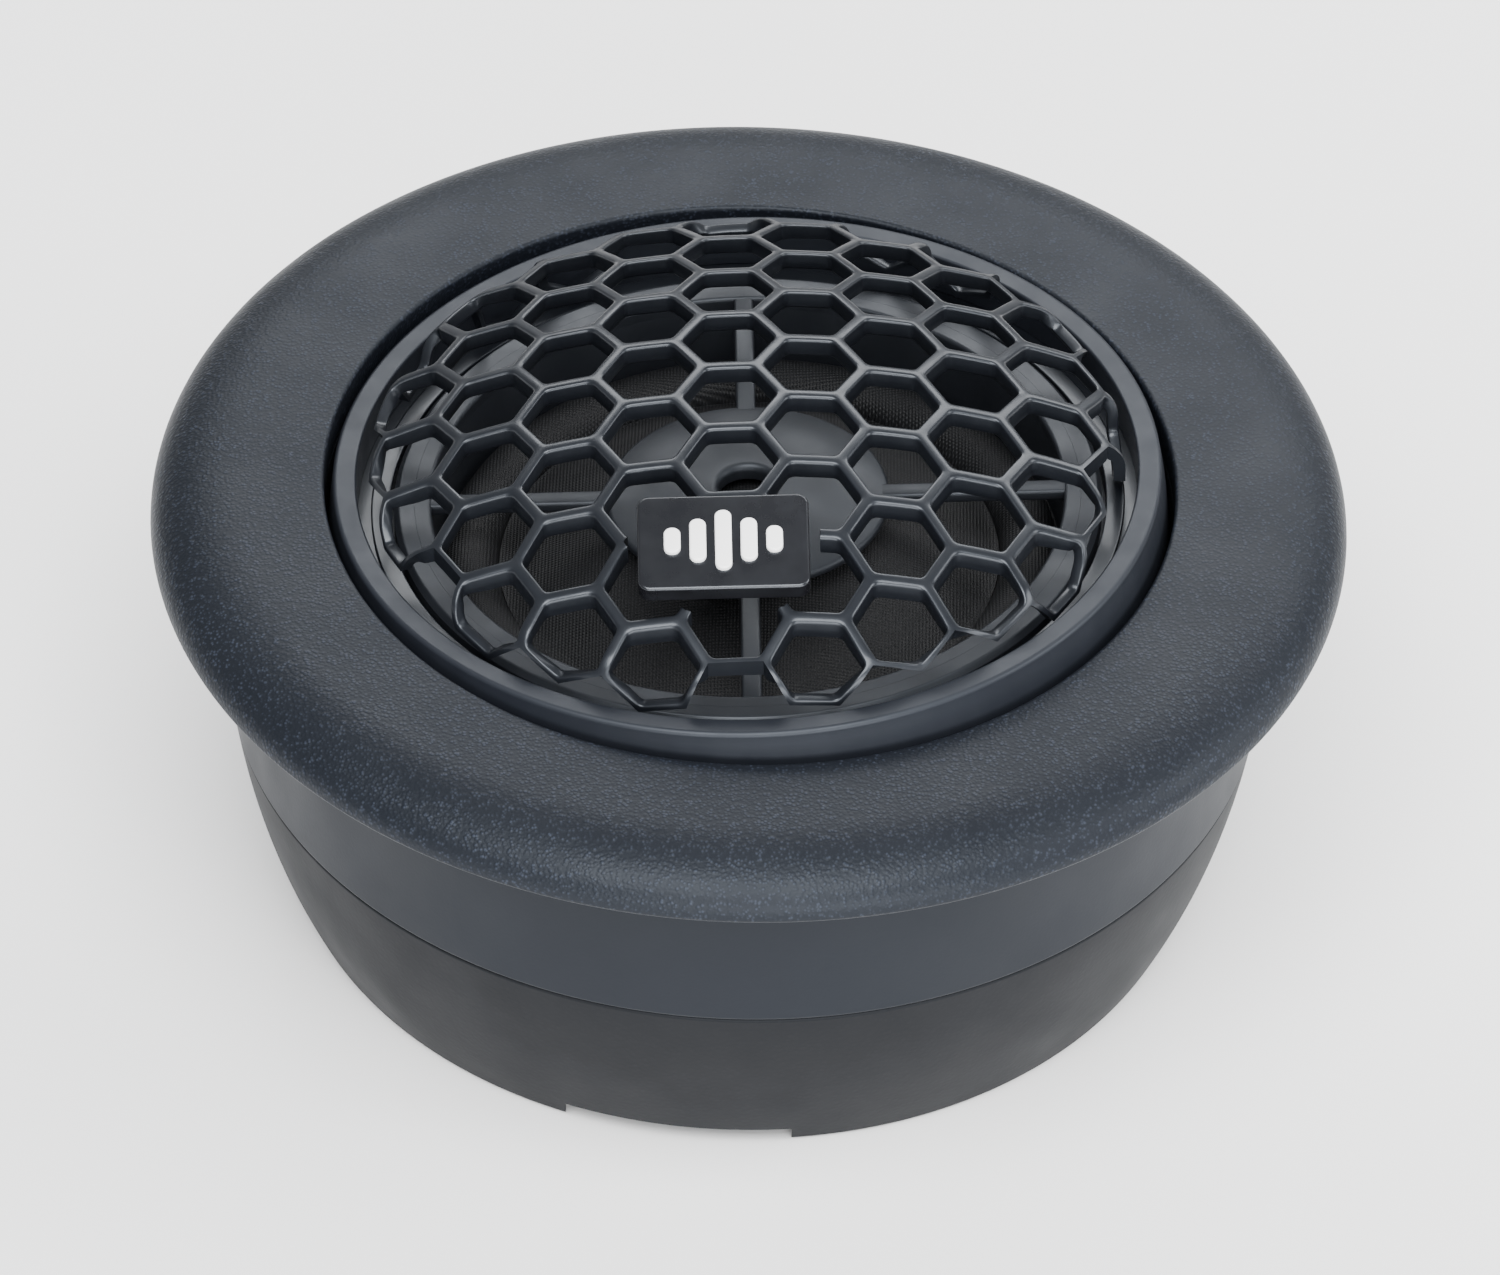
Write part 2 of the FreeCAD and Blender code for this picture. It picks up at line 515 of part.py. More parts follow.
def pan_screw(at, shank_r, head_r, head_h, seat, tip):
    """Pan-head screw driven upward from a seat, with a cross recess."""
    head = lathe([(0, seat), (head_r, seat), (head_r, seat - head_h * 0.5), (head_r - 0.3, seat - head_h),
                  (0, seat - head_h)])
    shank = rod(shank_r, seat, tip)
    screw = head.fuse(shank)
    for angle in (0, 90):
        slot = Part.makeBox(head_r * 1.2, 0.3, head_h * 0.5, V(-head_r * 0.6, -0.15, seat - head_h - EPS))
        screw = screw.cut(turned(slot, angle))
    screw = screw.removeSplitter()
    screw.translate(at)
    return screw


def motor_screws():
    return Part.Compound([pan_screw(at, 0.8, 1.45, 0.9, YOKE_Z0, MOTOR_SCREW_TIP)
                          for at in screw_spots(MOTOR_SCREW_R, MOTOR_SCREW_TURN)])


def face_screws():
    return Part.Compound([pan_screw(at, 0.7, 1.0, 0.8, WEB_BASE, FACE_SCREW_TIP)
                          for at in screw_spots(FACE_SCREW_R, FACE_SCREW_TURN)])


os.makedirs("parts", exist_ok=True)

save("bezel_housing", bezel_housing())
save("base_cup", base_cup())
save("retaining_ring", tube(RETAINER_R0, RETAINER_R1, RETAINER_Z0, RETAINER_Z1, 0.2))
save("wave_spring", wave_spring())
save("carrier_ring", carrier_ring())
save("tilt_pins", Part.Compound(pin_rods(PIN_R, PIN_IN, PIN_OUT)))

save_pod("front_ring", front_ring())
save_pod("grille", grille())
save_pod("badge_plate", badge_plate())
save_pod("badge_emblem", badge_emblem())
save_pod("phase_plate", phase_plate())
save_pod("face_plate", face_plate())
save_pod("diaphragm_gasket", diaphragm_gasket())
save_pod("pod_shell", pod_shell())
save_pod("pole_plate", pole_plate())
save_pod("magnet", magnet())
save_pod("yoke_cup", yoke_cup())
save_pod("damping_felt", tube(0, 11.0, POLE_Z1, POLE_Z1 + 1.2, 0.15))
save_pod("rear_cap", rear_cap())
save_pod("motor_screws", motor_screws())
save_pod("face_screws", face_screws())
save_pod("terminal_tabs", terminal_tabs())
save_pod("coil_leads", coil_leads())
save_pod("surround", surround())
save_pod("dome", dome())
save_pod("coil_former", tube(COIL_R0, COIL_R1, COIL_BASE, DOME_BASE))
save_pod("coil_winding", tube(COIL_R1, COIL_R2, COIL_BASE + 0.3, COIL_BASE + 2.8))
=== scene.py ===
"""Looks of the car tweeter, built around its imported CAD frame.

Shapes are written in millimetres.  The housing's shapes are drawn in the frame's own axes, with
the base at height zero.  The pod's shapes are drawn upright about the tilt pivot and laid into
place by POD, which comes from the joints.
"""
import json
import math

import bmesh
import bpy
from mathutils import Matrix, Vector
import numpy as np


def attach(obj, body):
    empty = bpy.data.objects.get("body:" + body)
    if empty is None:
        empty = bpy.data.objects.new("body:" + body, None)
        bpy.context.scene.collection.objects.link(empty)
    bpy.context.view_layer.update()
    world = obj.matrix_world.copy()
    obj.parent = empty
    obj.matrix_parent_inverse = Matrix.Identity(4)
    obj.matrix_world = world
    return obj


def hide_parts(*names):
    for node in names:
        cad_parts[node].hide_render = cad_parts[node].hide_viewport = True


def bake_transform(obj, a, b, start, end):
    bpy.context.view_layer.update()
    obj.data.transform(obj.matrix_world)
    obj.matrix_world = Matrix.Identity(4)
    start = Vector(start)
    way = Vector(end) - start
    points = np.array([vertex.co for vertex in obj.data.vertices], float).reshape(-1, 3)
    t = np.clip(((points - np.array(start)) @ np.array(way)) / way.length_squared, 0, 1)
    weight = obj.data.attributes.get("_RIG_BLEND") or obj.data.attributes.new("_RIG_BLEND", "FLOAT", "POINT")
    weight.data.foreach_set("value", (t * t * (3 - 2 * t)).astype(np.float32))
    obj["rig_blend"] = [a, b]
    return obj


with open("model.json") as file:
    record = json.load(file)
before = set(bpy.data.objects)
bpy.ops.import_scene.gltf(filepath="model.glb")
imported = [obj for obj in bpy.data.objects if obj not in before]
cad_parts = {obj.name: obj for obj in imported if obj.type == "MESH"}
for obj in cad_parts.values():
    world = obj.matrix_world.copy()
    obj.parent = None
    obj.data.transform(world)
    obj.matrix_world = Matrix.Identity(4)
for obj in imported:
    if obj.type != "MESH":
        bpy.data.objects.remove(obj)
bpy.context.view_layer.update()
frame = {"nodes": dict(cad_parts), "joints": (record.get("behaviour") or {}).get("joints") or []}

MM = 0.001
ROUND = 192              # segments round the large lathed shapes
SUPPORT = 0.015          # extra loop beside each fillet, which keeps the flats next to it flat
JOINTS = {joint["name"]: joint for joint in frame["joints"]}
PIVOT = Vector(JOINTS["tilt"]["pos_m"])
COIL_AXIS = Vector(JOINTS["coil_travel"]["axis"])
POD = Matrix.Translation(PIVOT) @ Vector((0, 0, 1)).rotation_difference(COIL_AXIS).to_matrix().to_4x4()
HOUSING = Matrix.Identity(4)


# ---- mesh helpers -------------------------------------------------------------------------------
def rounded(corners, steps=5):
    """Closed outline in (r, z) from corners (r, z) or (r, z, fillet), with the fillets as arcs."""
    points = []
    count = len(corners)
    for n, corner in enumerate(corners):
        here = Vector(corner[:2])
        radius = corner[2] if len(corner) > 2 else 0.0
        if radius <= 0:
            points.append(here)
            continue
        to_last = (Vector(corners[n - 1][:2]) - here).normalized()
        to_next = (Vector(corners[(n + 1) % count][:2]) - here).normalized()
        half = to_last.angle(to_next) / 2
        reach = radius / math.tan(half)
        centre = here + (to_last + to_next).normalized() * (radius / math.sin(half))
        start, end = here + to_last * reach - centre, here + to_next * reach - centre
        sweep = start.angle_signed(end)
        points.append(here + to_last * (reach + SUPPORT))
        for k in range(steps + 1):
            turn = -sweep * k / steps
            cos, sin = math.cos(turn), math.sin(turn)
            points.append(centre + Vector((start.x * cos - start.y * sin, start.x * sin + start.y * cos)))
        points.append(here + to_next * (reach + SUPPORT))
    return points


def finished(name, mesh_data, matrix, sharp=35.0):
    """Object from a bmesh drawn in millimetres: scaled, placed, smooth with sharp creases."""
    bmesh.ops.recalc_face_normals(mesh_data, faces=mesh_data.faces)
    mesh = bpy.data.meshes.new(name)
    mesh_data.to_mesh(mesh)
    mesh_data.free()
    mesh.transform(matrix @ Matrix.Scale(MM, 4))
    mesh.shade_smooth()
    mesh.set_sharp_from_angle(angle=math.radians(sharp))
    piece = bpy.data.objects.new(name, mesh)
    bpy.context.scene.collection.objects.link(piece)
    return piece


def lathe_into(mesh_data, outline, segments=ROUND):
    """Turns a closed outline in (r, z) about Z into a bmesh; a point on the axis becomes one vertex."""
    rings = []
    for point in outline:
        if abs(point[0]) < 1e-6:
            rings.append([mesh_data.verts.new((0, 0, point[1]))])
            continue
        rings.append([mesh_data.verts.new((point[0] * math.cos(math.tau * k / segments),
                                           point[0] * math.sin(math.tau * k / segments), point[1]))
                      for k in range(segments)])
    for n, ring in enumerate(rings):
        other = rings[(n + 1) % len(rings)]
        if len(ring) == 1 and len(other) == 1:
            continue
        for k in range(segments):
            m = (k + 1) % segments
            loop = [ring[k % len(ring)], ring[m % len(ring)], other[m % len(other)], other[k % len(other)]]
            mesh_data.faces.new(list(dict.fromkeys(loop)))


def lathe(name, corners, matrix=HOUSING, segments=ROUND):
    """Object turned from corners (r, z) or (r, z, fillet)."""
    mesh_data = bmesh.new()
    lathe_into(mesh_data, rounded(corners), segments)
    return finished(name, mesh_data, matrix)


def slab_into(mesh_data, size, centre, bevel, segments=4):
    """Box with rounded edges added to a bmesh."""
    made = bmesh.ops.create_cube(mesh_data, size=1.0)["verts"]
    shape = Matrix.Translation(centre) @ Matrix.Diagonal((*size, 1))
    bmesh.ops.transform(mesh_data, matrix=shape, verts=made)
    edges = {edge for vert in made for edge in vert.link_edges}
    bmesh.ops.bevel(mesh_data, geom=list(edges), offset=bevel, segments=segments, profile=0.5,
                    affect="EDGES")


def cut(piece, cutter):
    """Takes the cutter's shape out of the piece and removes the cutter."""
    modifier = piece.modifiers.new("cut", "BOOLEAN")
    modifier.operation = "DIFFERENCE"
    modifier.solver = "EXACT"
    modifier.object = cutter
    bpy.context.view_layer.update()
    evaluated = piece.evaluated_get(bpy.context.evaluated_depsgraph_get())
    mesh = bpy.data.meshes.new_from_object(evaluated)
    piece.modifiers.clear()
    piece.data = mesh
    bpy.data.objects.remove(cutter)


def place(piece, body, slot, material, *replaced):
    """Gives the piece its material and its body, and hides the CAD nodes it stands in for; the slot is not
    used.
    """
    piece.data.materials.clear()
    piece.data.materials.append(material)
    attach(piece, body)
    if replaced:
        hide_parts(*replaced)
    return piece


# ---- materials ----------------------------------------------------------------------------------
class Paint:
    """A node material: object coordinates in metres, textures mixed into colour, roughness, bump."""

    def __init__(self, name, colour, roughness, metallic=0.0, specular=0.5, tint=(1, 1, 1)):
        self.material = bpy.data.materials.new(name)
        self.material.use_nodes = True
        self.tree = self.material.node_tree
        self.shader = self.tree.nodes["Principled BSDF"]
        self.shader.inputs["Base Color"].default_value = (*colour, 1)
        self.shader.inputs["Roughness"].default_value = roughness
        self.shader.inputs["Metallic"].default_value = metallic
        self.shader.inputs["Specular IOR Level"].default_value = specular
        self.shader.inputs["Specular Tint"].default_value = (*tint, 1)
        self.colour = colour
        self.where = self.add("ShaderNodeTexCoord").outputs["Object"]
        self.normal = None

    def add(self, kind, **values):
        """New node with its settings."""
        node = self.tree.nodes.new(kind)
        for key, value in values.items():
            setattr(node, key, value)
        return node

    def join(self, output, socket):
        """Links an output to an input."""
        self.tree.links.new(output, socket)

    def noise(self, size_mm, detail=2.0, roughness=0.5, stretch=(1, 1, 1)):
        """Noise whose features are about size_mm across."""
        mapping = self.add("ShaderNodeMapping")
        mapping.inputs["Scale"].default_value = stretch
        self.join(self.where, mapping.inputs["Vector"])
        node = self.add("ShaderNodeTexNoise")
        node.inputs["Scale"].default_value = 1 / (size_mm * MM)
        node.inputs["Detail"].default_value = detail
        node.inputs["Roughness"].default_value = roughness
        self.join(mapping.outputs["Vector"], node.inputs["Vector"])
        return node.outputs["Fac"]

    def cells(self, size_mm):
        """Distance to the nearest of many points about size_mm apart."""
        node = self.add("ShaderNodeTexVoronoi", feature="F1")
        node.inputs["Scale"].default_value = 1 / (size_mm * MM)
        self.join(self.where, node.inputs["Vector"])
        return node.outputs["Distance"]

    def threads(self, pitch_mm, direction):
        """Parallel bands of one thread direction, pitch_mm apart."""
        node = self.add("ShaderNodeTexWave", wave_type="BANDS", bands_direction=direction)
        node.wave_profile = "SIN"
        node.inputs["Scale"].default_value = math.tau / 20 / (pitch_mm * MM)
        node.inputs["Distortion"].default_value = 0.35
        node.inputs["Detail Scale"].default_value = 2.0
        self.join(self.where, node.inputs["Vector"])
        return node.outputs["Fac"]

    def height(self):
        """Height above the base in metres, for a finish that changes up the piece."""
        node = self.add("ShaderNodeSeparateXYZ")
        self.join(self.where, node.inputs["Vector"])
        return node.outputs["Z"]

    def levels(self, value, low, high, out_low=0.0, out_high=1.0):
        """The value's range low to high, clamped and stretched to out_low to out_high."""
        node = self.add("ShaderNodeMapRange", clamp=True)
        node.inputs["From Min"].default_value = low
        node.inputs["From Max"].default_value = high
        node.inputs["To Min"].default_value = out_low
        node.inputs["To Max"].default_value = out_high
        self.join(value, node.inputs["Value"])
        return node.outputs["Result"]

    def combine(self, operation, a, b):
        """One arithmetic step, such as MULTIPLY, on two values, each a socket or a number."""
        node = self.add("ShaderNodeMath", operation=operation)
        for socket, value in zip(node.inputs, (a, b)):
            if isinstance(value, (int, float)):
                socket.default_value = value
            else:
                self.join(value, socket)
        return node.outputs["Value"]

    def shade(self, value, dark, light):
        """Colour runs from dark times the base to light times the base with the value."""
        node = self.add("ShaderNodeMix", data_type="RGBA")
        node.inputs["A"].default_value = (*[channel * dark for channel in self.colour], 1)
        node.inputs["B"].default_value = (*[channel * light for channel in self.colour], 1)
        self.join(value, node.inputs["Factor"])
        self.join(node.outputs["Result"], self.shader.inputs["Base Color"])
        return self

    def rough(self, value, low, high):
        """Roughness runs from low to high with the value."""
        self.join(self.levels(value, 0.25, 0.75, low, high), self.shader.inputs["Roughness"])
        return self

    def bump(self, value, height_mm, strength=1.0):
        """Relief height_mm deep, laid over any relief added before."""
        node = self.add("ShaderNodeBump")
        node.inputs["Distance"].default_value = height_mm * MM
        node.inputs["Strength"].default_value = strength
        self.join(value, node.inputs["Height"])
        if self.normal:
            self.join(self.normal, node.inputs["Normal"])
        self.normal = node.outputs["Normal"]
        self.join(self.normal, self.shader.inputs["Normal"])
        return self


COOL = (0.84, 0.91, 1.0)     # the black plastic's sheen is a little blue


def eroded_plastic(name, colour, roughness, specular, grain_mm, depth_mm, painted_glint_gain, above_mm=-1.0):
    """Moulded plastic from a spark-eroded tool, grained above a height: small domes whose crowns are
    lightened in the base colour as painted glints.
    """
    paint = Paint(name, colour, roughness, specular=specular, tint=COOL)
    grained = paint.levels(paint.height(), above_mm * MM, (above_mm + 0.3) * MM, 0.1, 1.0)
    domes = paint.levels(paint.cells(grain_mm), 0.1, 0.75, 1.0, 0.0)
    uneven = paint.combine("MULTIPLY", domes, paint.noise(grain_mm * 2, 2.0))
    grain = paint.combine("MULTIPLY", uneven, grained)
    mottle = paint.noise(5.0, 3.0)
    crowns = paint.levels(grain, 0.25, 0.55)
    patches = paint.levels(mottle, 0.3, 0.7, 0.6, 1.0)
    painted_glints = paint.combine("MULTIPLY", crowns, patches)
    # painted highlight: the base colour is lightened on the grain crowns, up to the given gain, standing in
    # for their glints
    paint.shade(painted_glints, 0.9, painted_glint_gain)
    paint.rough(mottle, roughness - 0.05, roughness + 0.06)
    paint.bump(grain, depth_mm)
    return paint.material


def satin_plastic(name, colour, roughness, coat=0.0, ripple_mm=0.010, specular=0.5):
    """Smooth moulded plastic: faint ripple, handling marks in the roughness."""
    paint = Paint(name, colour, roughness, specular=specular, tint=COOL)
    ripple = paint.noise(1.1, 2.0)
    marks = paint.noise(2.6, 5.0, 0.7, (1, 1, 0.35))
    paint.shade(paint.noise(9.0, 3.0), 0.82, 1.18)
    paint.rough(marks, roughness - 0.06, roughness + 0.09)
    paint.bump(ripple, ripple_mm, 0.6).bump(paint.noise(0.16, 2.0), ripple_mm * 0.3, 0.5)
    if coat:
        paint.shader.inputs["Coat Weight"].default_value = coat
        paint.shader.inputs["Coat Roughness"].default_value = 0.12
    return paint.material


def metal(name, colour, roughness, brushed=(1, 1, 1), scratch_mm=0.25):
    """Plated or machined metal with directional tool marks and light tarnish."""
    paint = Paint(name, colour, roughness, metallic=1.0)
    marks = paint.noise(scratch_mm, 3.0, 0.6, brushed)
    tarnish = paint.noise(3.0, 4.0)
    paint.shade(tarnish, 0.78, 1.1)
    paint.rough(marks, roughness - 0.08, roughness + 0.14)
    paint.bump(marks, 0.006, 0.8)
    return paint.material


def woven(name, colour, pitch_mm, roughness=0.62):
    """Coated plain weave: two thread directions, damped by the coating."""
    paint = Paint(name, colour, roughness, specular=0.26)
    warp = paint.threads(pitch_mm, "X")
    weft = paint.threads(pitch_mm, "Y")
    cloth = paint.combine("MULTIPLY", warp, weft)
    patch = paint.noise(1.6, 3.0)
    paint.shade(paint.combine("MULTIPLY", cloth, paint.levels(patch, 0.3, 0.7, 0.5, 1.2)), 0.7, 2.4)
    paint.rough(patch, roughness - 0.12, roughness + 0.08)
    paint.bump(cloth, 0.05)
    return paint.material


def fibrous(name, colour, size_mm, depth_mm):
    """Felt or pressed paper: matted short fibres."""
    paint = Paint(name, colour, 0.9, specular=0.2)
    fibres = paint.noise(size_mm, 5.0, 0.7, (1, 0.4, 1))
    cross = paint.noise(size_mm, 5.0, 0.7, (0.4, 1, 1))
    both = paint.combine("MAXIMUM", fibres, cross)
    paint.shade(both, 0.6, 1.35)
    paint.bump(both, depth_mm)
    return paint.material


def wound_wire(name, colour, pitch_mm):
    """Enamelled copper wire laid in turns along Z."""
    paint = Paint(name, colour, 0.28, metallic=1.0)
    turns = paint.threads(pitch_mm, "Z")
    paint.shade(turns, 0.45, 1.15)
    paint.rough(paint.noise(1.2, 3.0), 0.22, 0.38)
    paint.bump(turns, 0.05)
    paint.shader.inputs["Coat Weight"].default_value = 0.5
    return paint.material


# 3.8 for the flange and 1.15 for the cup are the painted glint strengths on the grain crowns
FLANGE_PLASTIC = eroded_plastic("flange_plastic", (0.0052, 0.0064, 0.0094), 0.48, 0.21, 0.19, 0.030, 3.8,
                                above_mm=21.2)
CUP_PLASTIC = eroded_plastic("cup_plastic", (0.0060, 0.0063, 0.0074), 0.54, 0.13, 0.30, 0.006, 1.15)
POD_PLASTIC = satin_plastic("pod_plastic", (0.0050, 0.0058, 0.0078), 0.33, 0.10, 0.002, 0.42)
# darker, duller copy of the pod plastic: painted shade for the grille's band between its rim and the trim
# ring
PAINTED_SHADE_PLASTIC = satin_plastic("painted_shade_plastic", (0.0040, 0.0044, 0.0056), 0.60, 0.0, 0.002, 0.12)
RING_PLASTIC = satin_plastic("ring_plastic", (0.0076, 0.0088, 0.0122), 0.46, 0.0, 0.004, 0.36)
INNER_PLASTIC = satin_plastic("inner_plastic", (0.0080, 0.0090, 0.0115), 0.44, 0.0, 0.010, 0.42)
BADGE_GLOSS = satin_plastic("badge_gloss", (0.0050, 0.0050, 0.0062), 0.28, 0.2, 0.004, 0.45)
EMBLEM_WHITE = satin_plastic("emblem_white", (0.92, 0.92, 0.92), 0.35, 0.3)
SILK = woven("woven_silk", (0.0050, 0.0054, 0.0064), 0.17)
FELT = fibrous("felt", (0.09, 0.09, 0.10), 0.35, 0.08)
PAPER = fibrous("paper", (0.30, 0.26, 0.19), 0.25, 0.03)
STEEL = metal("steel", (0.55, 0.56, 0.58), 0.32, (1, 1, 0.1))
BLACK_STEEL = metal("black_steel", (0.07, 0.07, 0.075), 0.38)
NICKEL = metal("nickel", (0.70, 0.68, 0.62), 0.16, (1, 1, 1), 0.6)
COIL_METAL = metal("coil_metal", (0.72, 0.73, 0.75), 0.30, (1, 1, 0.2))
COPPER = wound_wire("copper", (0.78, 0.36, 0.19), 0.19)
TAB_BRASS = metal("tab_brass", (0.74, 0.55, 0.24), 0.26, (0.15, 1, 1))

CARRIED_OVER = {
    "retaining_ring": INNER_PLASTIC, "wave_spring": STEEL, "carrier_ring": INNER_PLASTIC, "tilt_pins": STEEL,
    "diaphragm_gasket": PAPER, "pod_shell": INNER_PLASTIC, "pole_plate": STEEL, "magnet": NICKEL,
    "yoke_cup": STEEL, "damping_felt": FELT, "rear_cap": INNER_PLASTIC, "motor_screws": BLACK_STEEL,
    "face_screws": BLACK_STEEL, "terminal_tabs": TAB_BRASS, "coil_leads": COPPER, "coil_former": COIL_METAL,
    "coil_winding": COPPER}


# ---- housing ------------------------------------------------------------------------------------
FLANGE_R, FLANGE_TOP, FLANGE_LIP = 30.0, 23.8, 21.25
ROLL_W, ROLL_H = 4.3, 2.3
OPENING_R, CEILING, COLLAR_R, BORE_R, SEAM_Z = 21.3, 22.0, 26.2, 24.2, 11.2
FOOT_R, CUP_RIM_R, CUP_MID_R, CUP_MID_Z, FLOOR_T = 23.1, 26.15, 25.0, 5.3, 2.4
NOTCH_W, NOTCH_X = 11.3, -2.7            # cable notch in the cup's front edge
SCREW_PCD, SCREW_HOLE_R, SCREW_SINK_R, SINK_DEPTH = 26.0, 1.6, 2.9, 1.3


def bezel():
    """Flange with its rolled rim and the collar below it, with the groove that the cup snaps into."""
    roll = [(FLANGE_R - ROLL_W + ROLL_W * math.sin(angle), FLANGE_TOP - ROLL_H + ROLL_H * math.cos(angle))
            for angle in [math.radians(5 * n) for n in range(0, 19)]]
    corners = [(OPENING_R, CEILING, 0.1), (OPENING_R, FLANGE_TOP, 0.22)] + roll + [
        (FLANGE_R, FLANGE_LIP + 0.02, 0.2), (COLLAR_R, FLANGE_LIP, 0.0), (COLLAR_R, SEAM_Z, 0.18),
        (BORE_R, SEAM_Z, 0.1), (BORE_R, 13.7), (24.6, 13.7), (24.6, 14.9), (BORE_R, 15.3),
        (BORE_R, CEILING, 0.3)]
    return lathe("bezel", corners, segments=256)


def cup_outline():
    """Outside of the cup: a parabola through the foot, a middle point and the rim."""
    foot, middle, rim = Vector((FOOT_R, 0.0)), Vector((CUP_MID_R, CUP_MID_Z)), Vector((CUP_RIM_R, SEAM_Z))
    points = []
    for n in range(25):
        t = n / 24
        point = (1 - t) * (1 - 2 * t) * foot + 4 * t * (1 - t) * middle + t * (2 * t - 1) * rim
        points.append(tuple(point))
    return points


def cup():
    """Lower cup with its cable hole, its cable notch and three countersunk screw holes."""
    side = cup_outline()
    side[0] = (*side[0], 0.4)
    side[-1] = (*side[-1], 0.18)
    corners = [(4.0, 0.0, 0.15)] + side + [
        (BORE_R - 0.05, SEAM_Z), (BORE_R - 0.05, 16.4, 0.3), (22.6, 16.4, 0.3), (22.6, 10.4), (23.9, 9.1),
        (22.9, 5.0), (21.6, 2.9, 0.3), (21.1, FLOOR_T), (4.0, FLOOR_T, 0.15)]
    piece = lathe("cup", corners, segments=256)
    tools = bmesh.new()
    slab_into(tools, (NOTCH_W, FOOT_R, 2.2), (NOTCH_X, -FOOT_R / 2 - 3, 0.1), 0.12)
    screw_hole = [(0, -1), (SCREW_HOLE_R, -1), (SCREW_HOLE_R, FLOOR_T - SINK_DEPTH), (SCREW_SINK_R, FLOOR_T),
                  (SCREW_SINK_R, FLOOR_T + 1), (0, FLOOR_T + 1)]
    for n in range(3):
        angle = math.radians(90 + 120 * n)
        shape = bmesh.new()
        lathe_into(shape, screw_hole, 48)
        middle = (SCREW_PCD / 2 * math.cos(angle), SCREW_PCD / 2 * math.sin(angle), 0)
        shape.transform(Matrix.Translation(middle))
        mesh = bpy.data.meshes.new("hole")
        shape.to_mesh(mesh)
        shape.free()
        tools.from_mesh(mesh)
        bpy.data.meshes.remove(mesh)
    cut(piece, finished("cup_tools", tools, HOUSING))
    piece.data.set_sharp_from_angle(angle=math.radians(35))
    return piece


# ---- pod ----------------------------------------------------------------------------------------
RING_TOP, RING_IN_R, RING_OUT_R, RING_BASE = 4.13, 19.55, 20.72, 1.2
POD_R = 21.1


def ring():
    """Trim ring round the grille; its outside is part of the pod's ball."""
    side = [(math.sqrt(POD_R ** 2 - z ** 2), z) for z in [RING_TOP - 0.36 - 0.28 * n for n in range(10)]]
    corners = [(RING_IN_R, 1.95), (RING_IN_R, RING_TOP, 0.14), (RING_OUT_R, RING_TOP, 0.24)] + side + [
        (math.sqrt(POD_R ** 2 - RING_BASE ** 2), RING_BASE), (20.05, RING_BASE), (20.05, 1.95)]
    return lathe("trim_ring", corners, POD, 256)


CAP_R, CAP_APEX = 42.7, 9.98
ROLL_START, ROLL_R = 18.0, 1.6       # where the dome rolls over into the skirt, and how tightly
HEX_SIDE, HEX_X, HEX_Y, HEX_TURN = 2.68, -0.74, -1.41, math.radians(1.8)
PITCH_X, PITCH_Y = 1.5 * HEX_SIDE, math.sqrt(3) * HEX_SIDE
BADGE_X, BADGE_Y, BADGE_W, BADGE_D, BADGE_T, BADGE_SINK = -0.85, -11.4, 8.4, 5.6, 0.9, 0.5
MESH_DEPTH = 1.0
SIDE_STEPS = (-1.0, -0.88, -0.75, -0.6, -0.4, -0.2, 0.0, 0.2, 0.4, 0.6, 0.75, 0.88)
# one half of a wall's section: distance from the wall's middle, depth below its crown
WALL_SECTION = ((0.0, 0.0), (0.12, 0.005), (0.2, 0.024), (0.25, 0.055), (0.285, 0.11), (0.3, 0.19),
                (0.31, 0.5), (0.33, 0.88), (0.29, 0.97), (0.16, MESH_DEPTH), (0.0, MESH_DEPTH))
WINDOW = (-6.11, 3.45, -14.95, -10.0)    # opening round the badge: the honeycomb's walls stop there


def cap_height(radius):
    """Height of the grille's dome above the pivot."""
    return CAP_APEX - CAP_R + math.sqrt(CAP_R ** 2 - radius ** 2)


def on_grille(x, y, depth):
    """Point of the grille for a point of the flat pattern: the dome, its rolled edge, the skirt."""
    reach = math.hypot(x, y)
    outward = Vector((x, y, 0)) / max(reach, 1e-9)
    slope = math.asin(ROLL_START / CAP_R)
    if reach <= ROLL_START:
        radius, height = reach, cap_height(reach)
        lean = 0.0
    else:
        length = reach - ROLL_START
        turn = min(length / ROLL_R, math.pi / 2 - slope)
        radius = ROLL_START + ROLL_R * (math.sin(slope + turn) - math.sin(slope))
        height = cap_height(ROLL_START) - ROLL_R * (math.cos(slope) - math.cos(slope + turn))
        height -= max(0.0, length - turn * ROLL_R)
        lean = turn + slope * min(1.0, length)
    inward = Vector((0, 0, -math.cos(lean))) - outward * math.sin(lean)
    depth *= 1 - 0.4 * min(1.0, max(0.0, (reach - 16.8) / 2.4))
    return outward * radius + Vector((0, 0, height)) + inward * depth


def in_pattern(x, y):
    """Turns a point of the honeycomb's own axes to the pod's."""
    cos, sin = math.cos(HEX_TURN), math.sin(HEX_TURN)
    return x * cos - y * sin, x * sin + y * cos


def in_window(point):
    """Whether a point of the flat pattern is in the opening round the badge."""
    return WINDOW[0] < point.x < WINDOW[1] and WINDOW[2] < point.y < WINDOW[3]


def cell_point(centre, side, step, inset, fillet):
    """Point on a cell's outline, inset from the wall's middle line, with rounded corners."""
    apothem = HEX_SIDE * math.sqrt(3) / 2 - inset
    half = apothem * math.tan(math.pi / 6)
    along = step * half
    away = apothem
    straight = half - fillet * math.tan(math.pi / 6)
    if fillet > 0 and abs(along) > straight:
        turn = math.pi / 6 * (abs(along) - straight) / (half - straight)
        along = math.copysign(straight + fillet * math.sin(turn), along)
        away = apothem - fillet + fillet * math.cos(turn)
    angle = math.radians(30 + 60 * side)
    normal, tangent = Vector((math.cos(angle), math.sin(angle))), Vector((-math.sin(angle), math.cos(angle)))
    return centre + normal * away + tangent * along


